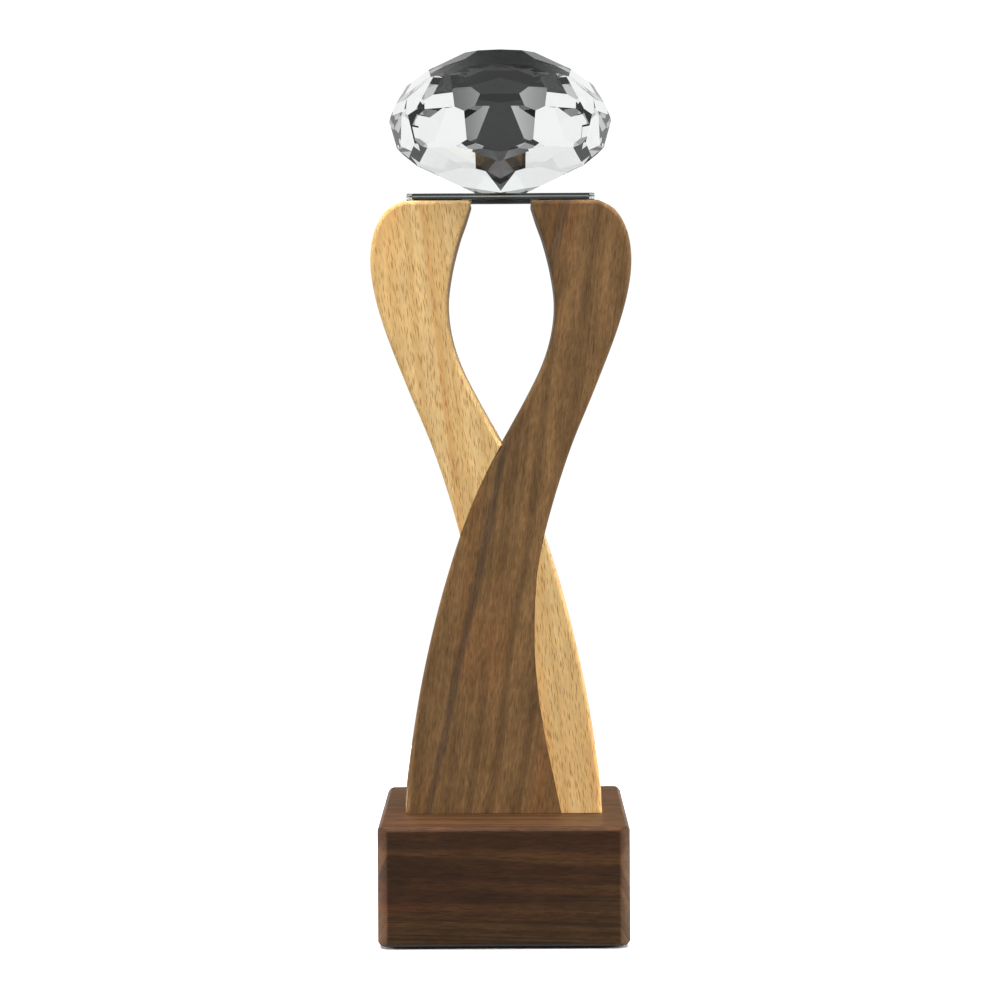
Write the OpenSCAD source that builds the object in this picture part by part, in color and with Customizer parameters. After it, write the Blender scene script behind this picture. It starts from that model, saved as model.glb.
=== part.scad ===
// Free-standing award: a faceted crystal on a small glass plate, carried by
// two crossing S-shaped wooden arms that stand on a square wooden block.
// Millimetres, +Z up. The origin is on the floor, under the middle of the base,
// and -Y is the front, where the walnut arm lies over the beech arm.

/* [Base] */
// Width and depth of the base block
base_w = 84; // [80:1:100]
// Height of the base block's top above the floor
base_h = 41; // [37:1:60]
// Width of the flats on the block's four upright corners
corner_flat = 3.2; // [1:0.1:6]
// Width of the eased edges round the block's top and bottom
eased_edge = 1.2; // [0.4:0.1:1.5]
// Thickness of the felt pad under the block
pad_t = 1; // [0.8:0.1:2]
// How far the felt pad stays back from the block's sides
pad_inset = 2; // [1:0.5:4]

/* [Arms] */
// Height of the arms above the base
arm_h = 208.5; // [180:0.5:240]
// Thickness of each arm from front to back
arm_t = 33; // [30:1:40]

/* [Glass plate] */
// Length of the plate across both arms
plate_l = 64; // [60:1:80]
// Depth of the plate from front to back
plate_d = 24; // [20:1:30]
// Thickness of the plate
plate_t = 2.3; // [2:0.1:5]
// Width of the flats on the plate's corners
plate_flat = 1.1; // [0.5:0.1:3]

/* [Crystal] */
// Width of the crystal across the flats of its girdle
gem_d = 75.6; // [60:0.1:80]
// Height of the crystal from its small lower flat to its table
gem_h = 48.2; // [40:0.1:60]

/* [Fixings] */
// Diameter of the dowels between the arms and the base
dowel_d = 8; // [6:1:8]
// Length of the dowels, half in the base and half in an arm
dowel_l = 30; // [20:1:40]
// Thread diameter of the screws that pull the arms down
screw_d = 4.5; // [4:0.5:5]
// Length of the screws under their heads
screw_l = 50; // [40:1:55]
// Depth of the recesses that hide the screw heads
recess_depth = 12; // [6:1:12]

/* [Hidden] */
$fn = 48;

wood_adhesive_t = 0.3;
crystal_bond_t = 0.2;
crystal_bond_d = 12;
glue_gap = 0.1;

plate_z = base_h + arm_h + wood_adhesive_t;
gem_z = plate_z + plate_t + crystal_bond_t;

// Dowels stand two in each arm, in the half that reaches the foot's middle.
dowel_x = 8;
dowel_y = arm_t / 4;
// One screw stands in the full thickness at the outer end of each foot.
screw_x = 22.8;
washer_d = 11;
washer_t = 1;
head_d = 8.6;
head_t = 3;
recess_d = 12.5;
screw_hole_d = 5.2;
washer_z = pad_t + recess_depth - washer_t;
screw_tip_z = washer_z + screw_l;

// One S-shaped arm seen from the front, as two edges that the spline follows.
// Each point is [distance from the middle, share of the arm's height].
// The outer edge runs from the shoulder at the top down to the foot.
OUTER_EDGE = [
    [33.0, 1.000], [38.8, 0.984], [42.8, 0.950], [44.2, 0.904], [42.9, 0.850],
    [38.8, 0.782], [31.4, 0.691], [23.2, 0.595], [16.2, 0.490], [12.0, 0.400],
    [10.8, 0.312], [11.2, 0.233], [13.8, 0.137], [19.6, 0.000],
];
// The inner edge runs from the foot up to the top.
INNER_EDGE = [
    [-33.5, 0.000], [-33.0, 0.052], [-31.0, 0.122], [-27.9, 0.211],
    [-23.4, 0.308], [-18.0, 0.401], [-11.5, 0.490], [-5.0, 0.560],
    [1.9, 0.621], [8.4, 0.677], [14.1, 0.733], [17.3, 0.784], [18.3, 0.835],
    [16.9, 0.887], [14.4, 0.935], [12.0, 0.968], [9.9, 1.000],
];
EDGE_STEPS = 6;

// Facet tiers of the crystal, from the table to the lower flat. Each row is
// [tilt from level, facets in the ring, turn, share of half width, share of
// height]: the two shares are a point that the facets pass through.
TIERS = [
    [9, 5, 36, 0.41, 1.00],
    [27, 10, 18, 0.34, 0.99],
    [48.5, 5, 0, 0.73, 0.82],
    [65, 10, 18, 0.88, 0.74],
    [70.5, 10, 0, 0.95, 0.60],
    [105, 10, 0, 0.92, 0.41],
    [137, 10, 18, 0.84, 0.26],
    [155, 5, 0, 0.67, 0.14],
    [152, 5, 36, 0.32, 0.06],
];
GIRDLE_FACETS = 20;

// A point on the Catmull-Rom curve between p1 and p2.
function curve_point(p0, p1, p2, p3, t) =
    (2 * p1 + (p2 - p0) * t + (2 * p0 - 5 * p1 + 4 * p2 - p3) * t * t
    + (3 * p1 - p0 - 3 * p2 + p3) * t * t * t) / 2;

// The whole curve through a list of points.
function smooth_edge(p) = [
    for (i = [0:len(p) - 2])
        for (s = [0:EDGE_STEPS - 1])
            curve_point(p[max(i - 1, 0)], p[i], p[i + 1],
                p[min(i + 2, len(p) - 1)], s / EDGE_STEPS),
    p[len(p) - 1]
];

// A rectangle with its four corners cut off.
module cut_rectangle(w, d, cut) {
    a = w / 2;
    b = d / 2;
    polygon([
        [cut - a, -b], [a - cut, -b], [a, cut - b], [a, b - cut],
        [a - cut, b], [cut - a, b], [-a, b - cut], [-a, cut - b],
    ]);
}

// The side view of the base block, laid along Y.
module eased_bar() {
    block_h = base_h - pad_t;
    translate([0, base_w / 2, pad_t + block_h / 2])
        rotate([90, 0, 0])
            linear_extrude(base_w)
                cut_rectangle(base_w, block_h, eased_edge);
}

// An arm of full thickness before the lap is cut, leaning to +X at its top.
module arm_plank(t, y) {
    edge = concat(smooth_edge(OUTER_EDGE), smooth_edge(INNER_EDGE));
    translate([0, y + t, base_h])
        rotate([90, 0, 0])
            linear_extrude(t)
                polygon([for (p = edge) [p[0], p[1] * arm_h]]);
}

// Puts its children at the four dowels.
module at_dowels() {
    for (x = [-dowel_x, dowel_x])
        for (y = [-dowel_y, dowel_y])
            translate([x, y, base_h])
                children();
}

// Puts its children at the two screws.
module at_screws() {
    for (x = [-screw_x, screw_x])
        translate([x, 0, 0])
            children();
}

// Holes for the fixings that stand in the arms' feet.
module foot_holes() {
    at_dowels()
        translate([0, 0, -1])
            cylinder(h = dowel_l / 2 + 2, d = dowel_d + 2 * glue_gap);
    at_screws()
        translate([0, 0, base_h - 1])
            cylinder(h = screw_tip_z - base_h + 2, d = screw_d + glue_gap);
}

module felt_pad() {
    side = base_w - 2 * pad_inset;
    color([0.09, 0.09, 0.10])
        linear_extrude(pad_t)
            cut_rectangle(side, side, corner_flat);
}

module base_block() {
    color([0.33, 0.23, 0.16])
        difference() {
            intersection() {
                translate([0, 0, pad_t])
                    linear_extrude(base_h - pad_t)
                        cut_rectangle(base_w, base_w, corner_flat);
                eased_bar();
                rotate([0, 0, 90])
                    eased_bar();
            }
            at_dowels()
                translate([0, 0, -dowel_l / 2 - 1])
                    cylinder(h = dowel_l / 2 + 2, d = dowel_d + 2 * glue_gap);
            at_screws() {
                cylinder(h = pad_t + recess_depth, d = recess_d);
                cylinder(h = base_h + 1, d = screw_hole_d);
            }
        }
}

// The front arm keeps its front half where the arms cross.
module walnut_arm() {
    color([0.49, 0.38, 0.25])
        difference() {
            arm_plank(arm_t, -arm_t / 2);
            mirror([1, 0, 0])
                arm_plank(arm_t, 0);
            foot_holes();
        }
}

// The back arm is the mirror image and keeps its back half.
module beech_arm() {
    color([0.86, 0.71, 0.48])
        difference() {
            mirror([1, 0, 0])
                arm_plank(arm_t, -arm_t / 2);
            arm_plank(arm_t, -arm_t);
            foot_holes();
        }
}

module foot_dowels() {
    point = 1;
    color([0.80, 0.66, 0.45])
        at_dowels()
            translate([0, 0, -dowel_l / 2]) {
                cylinder(h = point, d1 = dowel_d - 2 * point, d2 = dowel_d);
                translate([0, 0, point])
                    cylinder(h = dowel_l - 2 * point, d = dowel_d);
                translate([0, 0, dowel_l - point])
                    cylinder(h = point, d1 = dowel_d, d2 = dowel_d - 2 * point);
            }
}

// Pan-head wood screws, points up, with the thread drawn as rings.
module base_screws() {
    pitch = 2;
    point = 4;
    plain = 14;
    r = screw_d / 2;
    root = r * 0.7;
    turns = floor((screw_l - plain - point) / pitch);
    thread = [
        for (i = [0:turns - 1])
            for (p = [[root, 0], [r, pitch / 2]])
                [p[0], plain + i * pitch + p[1]]
    ];
    color([0.75, 0.75, 0.77])
        at_screws()
            translate([0, 0, washer_z])
                difference() {
                    rotate_extrude()
                        polygon(concat(
                            [[0, -head_t], [head_d / 2 - 1, -head_t],
                            [head_d / 2, 0.8 - head_t], [head_d / 2, 0],
                            [r * 0.9, 0], [r * 0.9, plain]],
                            thread,
                            [[root, screw_l - point], [0, screw_l]]
                        ));
                    for (a = [0, 90])
                        rotate([0, 0, a])
                            translate([-2.2, -0.5, -head_t - 1])
                                cube([4.4, 1, 2.6]);
                }
}

module screw_washers() {
    color([0.70, 0.70, 0.72])
        at_screws()
            translate([0, 0, washer_z])
                difference() {
                    cylinder(h = washer_t, d = washer_d);
                    translate([0, 0, -1])
                        cylinder(h = washer_t + 2, d = screw_d + 0.5);
                }
}

// Clear double-sided pads on the two level arm tops.
module plate_adhesive_pads() {
    pad_l = 17;
    pad_d = plate_d - 6;
    pad_x = 21.5;
    color([0.85, 0.87, 0.84])
        for (x = [-1, 1])
            translate([x * pad_x - pad_l / 2, -pad_d / 2, base_h + arm_h])
                cube([pad_l, pad_d, wood_adhesive_t]);
}

module glass_plate() {
    color([0.20, 0.21, 0.20])
        translate([0, 0, plate_z])
            linear_extrude(plate_t)
                cut_rectangle(plate_l, plate_d, plate_flat);
}

// The film of clear glue under the crystal's lower flat.
module crystal_bond() {
    color([0.90, 0.92, 0.90])
        translate([0, 0, gem_z - crystal_bond_t])
            cylinder(h = crystal_bond_t, d = crystal_bond_d);
}

// All that lies on the inner side of one facet plane. The plane passes through
// the point [0, -r, z] and its outward normal is tilted from +Z towards -Y.
module facet_side(tilt, r, z) {
    block = 4 * gem_d;
    translate([0, -r, z])
        rotate([tilt, 0, 0])
            translate([-block / 2, -block / 2, -block])
                cube(block);
}

module crystal_gem() {
    girdle_r = gem_d / 2 / cos(180 / GIRDLE_FACETS);
    girdle_step = 360 / GIRDLE_FACETS;
    color([0.88, 0.93, 0.92])
        translate([0, 0, gem_z])
            intersection() {
                linear_extrude(gem_h)
                    polygon([
                        for (i = [0:GIRDLE_FACETS - 1])
                            girdle_r * [cos(i * girdle_step), sin(i * girdle_step)]
                    ]);
                intersection_for (tier = TIERS)
                    intersection_for (i = [0:tier[1] - 1])
                        rotate([0, 0, tier[2] + i * 360 / tier[1]])
                            facet_side(tier[0], tier[3] * gem_d / 2, tier[4] * gem_h);
            }
}

felt_pad();
base_block();
walnut_arm();
beech_arm();
foot_dowels();
base_screws();
screw_washers();
plate_adhesive_pads();
glass_plate();
crystal_bond();
crystal_gem();
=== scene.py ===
"""Crystal award: a faceted crystal on a glass plate, on two crossing wooden arms and a block.

Metres, +Z up, -Y towards the viewer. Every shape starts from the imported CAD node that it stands
for, so its place and size are the frame's own. What is added here is the finish: broken edges,
wood grain, felt, zinc and glass.
"""
import math

import bmesh
import bpy
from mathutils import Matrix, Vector
from mathutils.bvhtree import BVHTree


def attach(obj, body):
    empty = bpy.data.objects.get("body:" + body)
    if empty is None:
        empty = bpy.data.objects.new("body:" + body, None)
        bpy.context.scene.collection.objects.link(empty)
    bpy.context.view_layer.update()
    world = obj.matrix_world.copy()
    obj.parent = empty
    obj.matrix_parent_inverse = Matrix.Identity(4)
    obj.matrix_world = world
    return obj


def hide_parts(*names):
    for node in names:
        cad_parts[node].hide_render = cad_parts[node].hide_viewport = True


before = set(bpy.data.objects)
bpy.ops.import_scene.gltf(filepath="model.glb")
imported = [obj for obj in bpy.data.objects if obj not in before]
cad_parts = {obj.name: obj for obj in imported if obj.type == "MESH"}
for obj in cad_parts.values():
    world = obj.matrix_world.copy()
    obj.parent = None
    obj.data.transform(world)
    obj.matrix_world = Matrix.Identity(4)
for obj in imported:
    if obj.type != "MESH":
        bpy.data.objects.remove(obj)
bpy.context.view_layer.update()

MM = 0.001

# Reading the CAD solids
WELD_DISTANCE = 0.002 * MM
SAME_PLANE_ANGLE = 0.4  # degrees, the most between two triangles of one flat face
FACES_FRONT = 0.99  # the least |y| in the normal of a front or back face
TIP_ANGLE = 60  # degrees, the widest corner that counts as the tip of a wedge
LEVEL_RISE = 0.001 * MM  # the most that a level edge rises
LONGEST_RIM_STEP = 1 * MM  # a shorter level edge belongs to the rim of a hole
LARGEST_SMOOTH_FACE = (25 * MM) ** 2  # a larger face is one flat face of the object

# Edges that are broken, and the widths they are broken by
SHARP_EDGE = 30  # degrees, the least turn between two faces
ARM_EDGE = 1.4 * MM
BASE_EDGE = 0.35 * MM
PLATE_EDGE = 0.25 * MM
PAD_EDGE = 0.3 * MM
SEAM_EDGE = 0.2 * MM  # where an arm meets the other arm or the base
TIP_TAPER = 0.1  # width of a broken edge over its distance from the tip of a wedge

# Figures in wood: cells per metre across the grain, and the share of that along the grain
WANDER = (14, 0.35)
PATCHES = (60, 0.12)
VEINS = (60, 0.06)
BAND_EDGE = (90, 0.1)
MOTTLE = (170, 0.4)
GROWTH_LINES = (420, 0.035)
FIBRES = (1700, 0.16)

WOOD_RELIEF = 0.06 * MM
FELT_RELIEF = 0.25 * MM
ZINC_RELIEF = 0.02 * MM
ADHESIVE_RELIEF = 0.01 * MM
GLASS_IOR = 1.52
ADHESIVE_IOR = 1.48

FLOOR_RADIUS = 0.42
FLOOR_GAP = 0.02 * MM  # keeps the floor off the pad's underside


# ---------------------------------------------------------------- colours and node trees

def srgb(red, green, blue):
    """A screen colour from 0 to 255 as the linear colour that a shader takes."""
    def linear(value):
        value /= 255
        return value / 12.92 if value <= 0.04045 else ((value + 0.055) / 1.055) ** 2.4
    return (linear(red), linear(green), linear(blue), 1.0)


class Shader:
    """A material, with one short method for each kind of node."""

    def __init__(self, name):
        self.material = bpy.data.materials.new(name)
        self.material.use_nodes = True
        self.tree = self.material.node_tree
        self.surface = self.tree.nodes["Principled BSDF"]
        self.place = self.add("ShaderNodeTexCoord").outputs["Object"]

    def add(self, kind, inputs=(), **settings):
        node = self.tree.nodes.new(kind)
        for name, value in settings.items():
            setattr(node, name, value)
        for name, value in dict(inputs).items():
            self.feed(node.inputs[name], value)
        return node

    def feed(self, socket, value):
        if isinstance(value, bpy.types.NodeSocket):
            self.tree.links.new(value, socket)
        else:
            socket.default_value = value

    def math(self, operation, a, b=0.0):
        return self.add("ShaderNodeMath", {0: a, 1: b}, operation=operation).outputs[0]

    def vector(self, operation, a, b):
        return self.add("ShaderNodeVectorMath", {0: a, 1: b}, operation=operation).outputs[0]

    def ramp(self, value, low, high, to_low=0.0, to_high=1.0):
        """value from low..high to to_low..to_high, with soft ends."""
        node = self.add("ShaderNodeMapRange", {
            "Value": value, "From Min": low, "From Max": high,
            "To Min": to_low, "To Max": to_high}, interpolation_type="SMOOTHSTEP")
        return node.outputs["Result"]

    def noise(self, place, scale, detail=2.0, roughness=0.5, stretch=(1, 1, 1), distortion=0.0):
        """Noise whose cells are 1 / scale metres wide, divided by stretch on each axis."""
        place = self.vector("MULTIPLY", place, stretch)
        node = self.add("ShaderNodeTexNoise", {
            "Vector": place, "Scale": scale, "Detail": detail,
            "Roughness": roughness, "Distortion": distortion})
        return node.outputs[0]

    def grain(self, place, figure, detail, roughness=0.5):
        """One of the figures in wood: noise drawn out along the last axis of place."""
        across, along = figure
        return self.noise(place, across, detail, roughness, stretch=(1, 1, along))

    def swing(self, value, amount):
        """Noise as a factor round 1 that lightens and darkens by the given share."""
        return self.ramp(value, 0.3, 0.7, 1 - amount, 1 + amount)

    def cells(self, place, scale, stretch):
        """Random cells: the distance from each cell's middle, and a random number for the cell."""
        place = self.vector("MULTIPLY", place, stretch)
        node = self.add("ShaderNodeTexVoronoi", {"Vector": place, "Scale": scale})
        number = self.add("ShaderNodeSeparateColor", {0: node.outputs["Color"]}).outputs[0]
        return node.outputs["Distance"], number

    def mix(self, amount, a, b):
        node = self.add("ShaderNodeMix", {0: amount, 6: a, 7: b}, data_type="RGBA")
        return node.outputs[2]

    def shade(self, colour, amount):
        """colour times the number amount."""
        if not isinstance(colour, bpy.types.NodeSocket):
            colour = colour[:3]
        node = self.add("ShaderNodeVectorMath", {0: colour}, operation="SCALE")
        self.feed(node.inputs["Scale"], amount)
        return node.outputs[0]

    def bump(self, height, depth):
        """Surface relief: height from 0 to 1, over depth metres."""
        node = self.add("ShaderNodeBump", {"Height": height, "Distance": depth, "Strength": 1.0})
        self.feed(self.surface.inputs["Normal"], node.outputs[0])

    def finish(self, **inputs):
        for name, value in inputs.items():
            self.feed(self.surface.inputs[name.replace("_", " ")], value)
        return self.material


# ---------------------------------------------------------------- wood

def grain_place(shader, lean, along):
    """Object coordinates turned so that the grain runs along the last axis.

    lean is the grain's angle off that axis, seen from the front, and along is the axis in space
    that the board's length follows, "X" or "Z".
    """
    turn = (0, math.radians(-lean), 0) if along == "Z" else (0, math.radians(90 - lean), 0)
    node = shader.add("ShaderNodeMapping", {"Vector": shader.place, "Rotation": turn})
    return node.outputs[0]


def bent_place(shader, place, bend):
    """The place moved across the grain by up to bend metres, so that the rings wander."""
    across, along = WANDER
    wander = shader.add("ShaderNodeTexNoise", {
        "Vector": shader.vector("MULTIPLY", place, (1, 1, along)),
        "Scale": across, "Detail": 2.0})
    wander = shader.vector("SUBTRACT", wander.outputs["Color"], (0.5, 0.5, 0.5))
    return shader.vector("ADD", place, shader.vector("MULTIPLY", wander, (bend, bend, 0)))


def growth_rings(shader, place, pith, ring_width):
    """0 in early wood and 1 in late wood, by the distance from the pith."""
    from_pith = shader.vector("MULTIPLY", shader.vector("SUBTRACT", place, pith), (1, 1, 0))
    radius = shader.add("ShaderNodeVectorMath", {0: from_pith}, operation="LENGTH")
    rings = shader.add("ShaderNodeTexNoise", {
        "W": shader.math("MULTIPLY", radius.outputs["Value"], 1 / ring_width), "Scale": 1.0,
        "Detail": 4.0, "Roughness": 0.7}, noise_dimensions="1D")
    return shader.ramp(rings.outputs[0], 0.36, 0.64)


def band_strength(shader, place, band_place, middle, half_width, depth):
    """How strongly the dark band shows: one band across the grain, with an uneven edge."""
    edge = shader.grain(place, BAND_EDGE, detail=3)
    uneven = shader.math("MULTIPLY", shader.math("SUBTRACT", edge, 0.5), half_width * 4)
    across = shader.add("ShaderNodeSeparateXYZ", {0: band_place}).outputs[0]
    off_middle = shader.math("ADD", shader.math("SUBTRACT", across, middle), uneven)
    return shader.ramp(shader.math("ABSOLUTE", off_middle), half_width * 0.2, half_width, depth, 0)


def fleck_marks(shader, place, across, length, share):
    """1 in the middle of a fleck or pore, and 0 between them."""
    distance, number = shader.cells(place, across, (1, 1, 1 / length))
    shown = shader.math("LESS_THAN", number, share)
    return shader.math("MULTIPLY", shader.ramp(distance, 0.2, 0.44, 1, 0), shown)


def wood(name, lean, along, pith, bend, ring_width, colours, veins, streak_and_shade, flecks, fibre,
         roughness):
    """Solid wood, cut from a log whose pith lies at the given place beside the board.

    lean and along are the direction of the grain, as in grain_place.
    bend is how far the rings wander off a straight line, in metres.
    colours are the early wood, the late wood, the warm patches and the dark veins.
    streak_and_shade is a darker band, a growth streak and painted shade along the base's bottom
    edge: (lean, place across the grain, half width, colour, depth).
    streak is one darker growth band: (lean, place across the grain, half width, colour, depth).
    flecks is (cells per metre across, length over width, share shown, depth of colour).
    fibre is how much lighter and darker the fine fibres are than the wood around them.
    roughness is that of the oiled surface, which is a little rougher in its pores.
    """
    early, late, warm, dark = (srgb(*c) for c in colours)
    shader = Shader(name)
    place = grain_place(shader, lean, along)
    bent = bent_place(shader, place, bend)
    colour = shader.mix(growth_rings(shader, bent, pith, ring_width), early, late)

    patches = shader.grain(bent, PATCHES, detail=3)
    colour = shader.mix(shader.ramp(patches, 0.5, 0.72, 0, 0.75), colour, warm)

    vein_share, vein_depth = veins
    vein = shader.grain(bent, VEINS, detail=3)
    vein = shader.ramp(vein, 1 - vein_share, 1.1 - vein_share, 0, vein_depth)
    colour = shader.mix(vein, colour, dark)

    # A darker band: a growth streak in the arms, and painted shade along the bottom edge of the
    # base.
    band_lean, middle, half_width, band_colour, band_depth = streak_and_shade
    band = band_strength(shader, place, grain_place(shader, band_lean, along),
                       middle, half_width, band_depth)
    colour = shader.mix(band, colour, srgb(*band_colour))

    lines = shader.grain(bent, GROWTH_LINES, detail=4, roughness=0.7)
    fibres = shader.grain(place, FIBRES, detail=3, roughness=0.65)
    mottle = shader.grain(place, MOTTLE, detail=4, roughness=0.65)
    tone = shader.math("MULTIPLY", shader.swing(lines, fibre * 0.7),
                       shader.swing(fibres, fibre * 1.4))
    tone = shader.math("MULTIPLY", tone, shader.swing(mottle, fibre))
    colour = shader.shade(colour, tone)

    *fleck_pattern, fleck_depth = flecks
    fleck = fleck_marks(shader, place, *fleck_pattern)
    colour = shader.mix(shader.math("MULTIPLY", fleck, fleck_depth), colour, dark)

    height = shader.math("SUBTRACT", shader.math("MULTIPLY", fibres, 0.5),
                         shader.math("MULTIPLY", fleck, 0.2))
    shader.bump(height, WOOD_RELIEF)
    oiled = shader.ramp(fibres, 0.2, 0.8, roughness - 0.06, roughness + 0.08)
    oiled = shader.math("ADD", oiled, shader.math("MULTIPLY", fleck, 0.15))
    return shader.finish(Base_Color=colour, Roughness=oiled, Specular_IOR_Level=0.3)


def wood_materials():
    """The four woods, by slot."""
    return {
        "beech": wood(
            "beech_oiled", lean=-7, along="Z", pith=(0.16, 0.06, 0), bend=0.02, ring_width=5 * MM,
            colours=((227, 192, 133), (217, 179, 119), (224, 170, 104), (158, 93, 46)),
            veins=(0.22, 0.12), streak_and_shade=(-7, 3.9 * MM, 1.3 * MM, (204, 146, 84), 0.5),
            flecks=(2900, 13, 0.8, 0.8), fibre=0.06, roughness=0.5),
        "walnut": wood(
            "walnut_oiled", lean=7, along="Z", pith=(-0.12, 0.05, 0), bend=0.02, ring_width=5 * MM,
            colours=((129, 98, 63), (106, 80, 52), (136, 94, 56), (76, 58, 42)),
            veins=(0.42, 0.55), streak_and_shade=(13.5, -36.7 * MM, 2.4 * MM, (74, 60, 48), 0.65),
            flecks=(1600, 8, 0.5, 0.5), fibre=0.16, roughness=0.46),
        "base_walnut": wood(
            "base_walnut_oiled", lean=1, along="X", pith=(0.09, 0.12, 0), bend=0.006,
            ring_width=2.4 * MM,
            colours=((82, 58, 36), (47, 34, 22), (90, 55, 34), (34, 25, 18)),
            # The band sits at the foot of the block, so it is painted shade along its bottom edge.
            veins=(0.42, 0.6), streak_and_shade=(1, 0, 1.5 * MM, (50, 38, 30), 0.6),
            flecks=(1600, 14, 0.5, 0.4), fibre=0.14, roughness=0.46),
        "dowel_beech": wood(
            "dowel_beech", lean=0, along="Z", pith=(0.03, 0.01, 0), bend=0.01, ring_width=2 * MM,
            colours=((214, 178, 124), (202, 162, 108), (198, 150, 98), (140, 98, 60)),
            veins=(0.2, 0.2), streak_and_shade=(0, 0, 1 * MM, (180, 130, 80), 0.2),
            flecks=(1600, 6, 0.7, 0.6), fibre=0.08, roughness=0.55),
    }


# ---------------------------------------------------------------- the other materials

def felt_material():
    """Black wool felt: fine hairs, and tufts that are lighter and darker."""
    shader = Shader("felt_black")
    hairs = shader.noise(shader.place, 2200, detail=5, roughness=0.8, distortion=1.5)
    tufts = shader.noise(shader.place, 260, detail=3)
    tone = shader.math("MULTIPLY", shader.ramp(hairs, 0.3, 0.7, 0.5, 1.7),
                       shader.swing(tufts, 0.2))
    shader.bump(hairs, FELT_RELIEF)
    return shader.finish(Base_Color=shader.shade(srgb(44, 44, 46), tone), Roughness=0.95,
                         Sheen_Weight=0.15, Sheen_Roughness=0.5)


def zinc_material():
    """Zinc plate with a faint spangle and the fine marks of turning."""
    shader = Shader("zinc_plate")
    spangle = shader.noise(shader.place, 420, detail=4, roughness=0.6)
    turned = shader.noise(shader.place, 1800, detail=2, stretch=(1, 1, 3))
    colour = shader.mix(shader.ramp(spangle, 0.35, 0.65), srgb(176, 180, 186), srgb(206, 205, 198))
    shader.bump(turned, ZINC_RELIEF)
    return shader.finish(Base_Color=colour, Metallic=1.0,
                         Roughness=shader.ramp(spangle, 0.3, 0.7, 0.26, 0.42))


def glass_material(name, colour):
    """Clear polished glass whose faint tint is a little stronger in places."""
    shader = Shader(name)
    melt = shader.noise(shader.place, 140, detail=2)
    tint = shader.mix(shader.ramp(melt, 0.3, 0.7), srgb(*colour),
                      srgb(*(min(255, c + 2) for c in colour)))
    return shader.finish(Base_Color=tint, Roughness=0.0, IOR=GLASS_IOR, Transmission_Weight=1.0)


def adhesive_material():
    """Clear cured adhesive, less even than glass."""
    shader = Shader("clear_adhesive")
    film = shader.noise(shader.place, 500, detail=3)
    shader.bump(film, ADHESIVE_RELIEF)
    return shader.finish(
        Base_Color=shader.mix(film, srgb(228, 232, 226), srgb(240, 243, 238)),
        Roughness=shader.ramp(film, 0.3, 0.7, 0.08, 0.2), IOR=ADHESIVE_IOR,
        Transmission_Weight=1.0)


# ---------------------------------------------------------------- geometry

def new_object(name, data):
    """A new object in the scene, which holds the given mesh, lamp or camera."""
    made = bpy.data.objects.new(name, data)
    bpy.context.scene.collection.objects.link(made)
    return made


def surface_tree(names):
    """A search tree over the surfaces of several CAD nodes."""
    points, faces = [], []
    for name in names:
        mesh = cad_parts[name].data
        first = len(points)
        points += [v.co.copy() for v in mesh.vertices]
        faces += [[first + i for i in p.vertices] for p in mesh.polygons]
    return BVHTree.FromPolygons(points, faces)


def clean_solid(node):
    """The CAD node's solid as a mesh under edit, with its triangles merged into whole faces."""
    solid = bmesh.new()
    solid.from_mesh(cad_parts[node].data)
    bmesh.ops.remove_doubles(solid, verts=solid.verts, dist=WELD_DISTANCE)
    bmesh.ops.dissolve_limit(solid, angle_limit=math.radians(SAME_PLANE_ANGLE),
                             verts=solid.verts, edges=solid.edges)
    bmesh.ops.recalc_face_normals(solid, faces=solid.faces)
    return solid


def sharp_tips(solid):
    """The places where the outline of a front or back face runs to a point."""
    return [corner.vert.co.copy() for face in solid.faces if abs(face.normal.y) > FACES_FRONT
            for corner in face.loops if corner.calc_angle() < math.radians(TIP_ANGLE)]


def is_hole_rim(edge):
    """Whether the edge is one short step of the level rim of a screw or dowel hole."""
    rise = abs(edge.verts[0].co.z - edge.verts[1].co.z)
    return rise < LEVEL_RISE and edge.calc_length() < LONGEST_RIM_STEP


def break_edges(solid, size, steps, touching=None):
    """Rounds the sharp outer edges, by size metres in the given number of steps.

    An edge is rounded less near the surfaces that the solid touches, and near the tip of a wedge.
    """
    weight = solid.edges.layers.float.new("bevel_weight_edge")
    tips = sharp_tips(solid) if touching else []
    for edge in solid.edges:
        if not (edge.is_manifold and edge.is_convex
                and edge.calc_face_angle() > math.radians(SHARP_EDGE)) or is_hole_rim(edge):
            continue
        width = size
        if touching:
            middle = (edge.verts[0].co + edge.verts[1].co) / 2
            gap = touching.find_nearest(middle)[3]
            width = min(size, max(SEAM_EDGE, gap / 2))
            for tip in tips:
                width = min(width, (middle - tip).length * TIP_TAPER)
        edge[weight] = width / size
    mesh = bpy.data.meshes.new("unbroken")
    solid.to_mesh(mesh)
    made = new_object("unbroken", mesh)
    bevel = made.modifiers.new("broken_edges", "BEVEL")
    bevel.limit_method = "WEIGHT"
    bevel.width = size
    bevel.segments = steps
    bevel.use_clamp_overlap = False
    bevel.miter_outer = "MITER_SHARP"
    bpy.context.view_layer.update()
    solid.clear()
    solid.from_mesh(made.evaluated_get(bpy.context.evaluated_depsgraph_get()).to_mesh())
    bpy.data.objects.remove(made)
    bpy.data.meshes.remove(mesh)


def flatten_broad_faces(solid):
    """Puts the corners of the arm's front and back faces exactly in their plane."""
    for face in solid.faces:
        if len(face.verts) > 8 and abs(face.normal.y) > FACES_FRONT:
            level = sorted(v.co.y for v in face.verts)[len(face.verts) // 2]
            for corner in face.verts:
                corner.co.y = level


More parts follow.
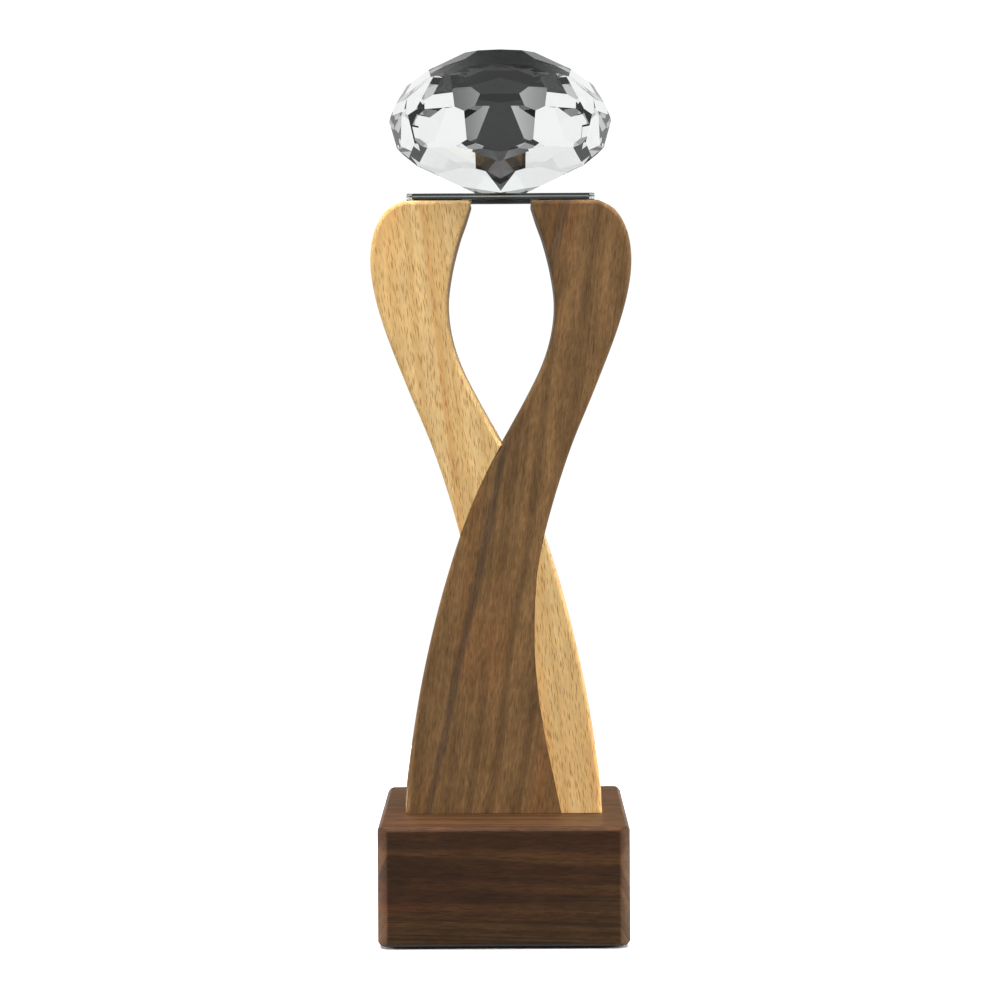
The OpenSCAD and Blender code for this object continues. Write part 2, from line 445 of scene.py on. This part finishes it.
def piece(name, solid, node, slot, smooth_under=None):
    """Makes the edited solid into the piece that stands for a CAD node.

    Edges of less than smooth_under degrees are shaded smooth, or none if it is left out.
    """
    mesh = bpy.data.meshes.new(name)
    solid.to_mesh(mesh)
    solid.free()
    if smooth_under is not None:
        mesh.set_sharp_from_angle(angle=math.radians(smooth_under))
        for face in mesh.polygons:
            face.use_smooth = face.area < LARGEST_SMOOTH_FACE
    mesh.materials.append(materials[slot])
    made = new_object(name, mesh)
    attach(made, "root")
    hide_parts(node)
    return made


def wooden_pieces():
    """The two arms and the base block."""
    for node, other, slot in (("walnut_arm", "beech_arm", "walnut"),
                              ("beech_arm", "walnut_arm", "beech")):
        solid = clean_solid(node)
        break_edges(solid, ARM_EDGE, steps=3, touching=surface_tree([other, "base_block"]))
        flatten_broad_faces(solid)
        piece(node.replace("arm", "s_arm"), solid, node, slot, smooth_under=34)
    solid = clean_solid("base_block")
    break_edges(solid, BASE_EDGE, steps=2)
    piece("walnut_base", solid, "base_block", "base_walnut", smooth_under=25)


def glass_pieces():
    """The plate with ground edges, and the crystal with the CAD's own facets."""
    solid = clean_solid("glass_plate")
    break_edges(solid, PLATE_EDGE, steps=1)
    piece("polished_plate", solid, "glass_plate", "plate_glass")
    solid = clean_solid("crystal_gem")
    piece("cut_crystal", solid, "crystal_gem", "crystal")


def felt_piece():
    """The felt pad, a flat sheet with a softly rounded rim, glued under the base."""
    solid = clean_solid("felt_pad")
    break_edges(solid, PAD_EDGE, steps=2)
    pad = piece("felt_foot_pad", solid, "felt_pad", "felt", smooth_under=50)


def carried_over():
    """CAD nodes whose shape is final, with the finish of their slot."""
    for node, slot in (
        ("foot_dowels", "dowel_beech"), ("base_screws", "zinc_steel"),
        ("screw_washers", "zinc_steel"), ("plate_adhesive_pads", "clear_adhesive"),
        ("crystal_bond", "clear_adhesive"),
    ):
        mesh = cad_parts[node].data
        mesh.materials.clear()
        mesh.materials.append(materials[slot])


# ---------------------------------------------------------------- stage, light and camera

def floor():
    """A white floor under the award, which neither lights the wood nor shows in the glass."""
    shader = Shader("floor_white")
    dust = shader.noise(shader.place, 3, detail=2)
    colour = shader.mix(dust, srgb(250, 250, 250), srgb(255, 255, 255))
    shader.finish(Base_Color=colour, Roughness=0.9)
    ring = bmesh.new()
    bmesh.ops.create_circle(ring, cap_ends=True, segments=96, radius=FLOOR_RADIUS)
    mesh = bpy.data.meshes.new("floor")
    ring.to_mesh(mesh)
    ring.free()
    mesh.materials.append(shader.material)
    made = new_object("floor", mesh)
    made.location.z = -FLOOR_GAP
    made.visible_diffuse = False
    made.visible_glossy = False
    made.visible_transmission = False


def studio():
    """White backdrop for the eye, and the room that the glass and the gloss show.

    The room has bright panels, weaker in front. Behind the award is a dark gap between them,
    with a wider dark patch low down. Angles are in degrees: across from the middle of the back,
    and up from the horizon.
    """
    gap_half_width, gap_top = 9.5, 55
    patch_half_width, patch_top, patch_foot = 29, -4, -39
    front_starts, front_softness = 120, 30
    back_panels, front_panels, darkness = 1.16, 0.55, 0.97
    light_on_wood, backdrop_light = 0.12, 1.05
    world = bpy.data.worlds.new("studio")
    bpy.context.scene.world = world
    world.use_nodes = True
    tree = world.node_tree
    tree.nodes.clear()

    def add(kind, **settings):
        node = tree.nodes.new(kind)
        for name, value in settings.items():
            setattr(node, name, value)
        return node

    def join(output, node, socket):
        tree.links.new(output, node.inputs[socket])

    def math_node(operation, *values):
        node = add("ShaderNodeMath", operation=operation)
        for socket, value in enumerate(values):
            if isinstance(value, bpy.types.NodeSocket):
                join(value, node, socket)
            else:
                node.inputs[socket].default_value = value
        return node.outputs[0]

    def step(value, middle, softness, to_low, to_high):
        """to_low below the middle angle and to_high above it, over a soft edge."""
        node = add("ShaderNodeMapRange", interpolation_type="SMOOTHSTEP")
        join(value, node, "Value")
        node.inputs["From Min"].default_value = math.radians(middle - softness)
        node.inputs["From Max"].default_value = math.radians(middle + softness)
        node.inputs["To Min"].default_value = to_low
        node.inputs["To Max"].default_value = to_high
        return node.outputs[0]

    def below(value, limit, softness):
        return step(value, limit, softness, 1, 0)

    view = add("ShaderNodeTexCoord").outputs["Generated"]
    split = add("ShaderNodeSeparateXYZ")
    join(view, split, 0)
    off_middle = math_node("ARCTAN2", math_node("ABSOLUTE", split.outputs["X"]),
                           split.outputs["Y"])
    height = math_node("ARCSINE", split.outputs["Z"])
    gap = math_node("MULTIPLY", below(off_middle, gap_half_width, softness=2),
                    below(height, gap_top, softness=4))
    patch = math_node("MULTIPLY", below(off_middle, patch_half_width, softness=3),
                      below(height, patch_top, softness=3))
    dark = math_node("MULTIPLY", math_node("MAXIMUM", gap, patch),
                     step(height, patch_foot, 4, 0, 1))
    panels = step(off_middle, front_starts, front_softness, back_panels, front_panels)
    panels = math_node("MULTIPLY", panels,
                       math_node("SUBTRACT", 1.0, math_node("MULTIPLY", dark, darkness)))
    room = add("ShaderNodeBackground")
    join(panels, room, "Strength")
    backdrop = add("ShaderNodeBackground")
    backdrop.inputs["Color"].default_value = (1, 1, 1, 1)
    backdrop.inputs["Strength"].default_value = backdrop_light
    eye = add("ShaderNodeLightPath")
    soft = add("ShaderNodeBackground")
    soft.inputs["Strength"].default_value = light_on_wood
    on_wood = add("ShaderNodeMixShader")
    join(eye.outputs["Is Diffuse Ray"], on_wood, 0)
    join(room.outputs[0], on_wood, 1)
    join(soft.outputs[0], on_wood, 2)
    choice = add("ShaderNodeMixShader")
    join(eye.outputs["Is Camera Ray"], choice, 0)
    join(on_wood.outputs[0], choice, 1)
    join(backdrop.outputs[0], choice, 2)
    join(choice.outputs[0], add("ShaderNodeOutputWorld"), 0)


def lamp(name, place, size, power, aim_height=0.17, spread=180):
    """A softbox that lights the wood and the floor. The glass shows the room instead.

    It points at aim_height on the award's axis, and spread is the width of its beam in degrees.
    """
    light = bpy.data.lights.new(name, "AREA")
    light.shape = "RECTANGLE"
    light.size, light.size_y = size
    light.energy = power
    light.spread = math.radians(spread)
    made = new_object(name, light)
    made.location = place
    towards = Vector((0, 0, aim_height)) - Vector(place)
    made.rotation_euler = towards.to_track_quat("-Z", "Y").to_euler()
    made.visible_camera = False
    made.visible_glossy = False
    made.visible_transmission = False


def lights():
    """Four soft lamps, and two weak narrow ones for the cut corners of the base."""
    lamp("front", place=(0.1, -0.9, 1.15), size=(1.0, 0.7), power=18.6)
    lamp("top", place=(0, 0, 1.3), size=(1.0, 0.8), power=38.5)
    lamp("left", place=(-1.0, 0.05, 0.35), size=(0.5, 0.9), power=8.6)
    lamp("right", place=(1.0, 0.05, 0.35), size=(0.5, 0.9), power=9.4)
    for name, side, power in (("low_left", -1, 0.06), ("low_right", 1, 0.05)):
        lamp(name, place=(side * 0.7, 0, 0.02), size=(0.12, 0.04), power=power,
             aim_height=0.005, spread=9)


def camera():
    """A long lens 0.89 m in front of the award, 0.19 m up and looking slightly down."""
    look_down, roll = math.radians(2.38), math.radians(0.3)
    view = bpy.data.cameras.new("camera")
    view.sensor_width = 36
    view.lens = 92.7
    view.shift_x = -0.0105
    view.shift_y = -0.03
    made = new_object("camera", view)
    made.location = (3.1 * MM, -0.8885, 0.1945)
    made.rotation_euler = (math.radians(90) - look_down, roll, 0)
    bpy.context.scene.camera = made
    bpy.context.scene.view_settings.view_transform = "Standard"


materials = {
    **wood_materials(),
    "felt": felt_material(),
    "zinc_steel": zinc_material(),
    "clear_adhesive": adhesive_material(),
    "plate_glass": glass_material("float_glass", (226, 238, 232)),
    "crystal": glass_material("crystal_glass", (250, 253, 252)),
}

wooden_pieces()
glass_pieces()
felt_piece()
carried_over()
floor()
studio()
lights()
camera()
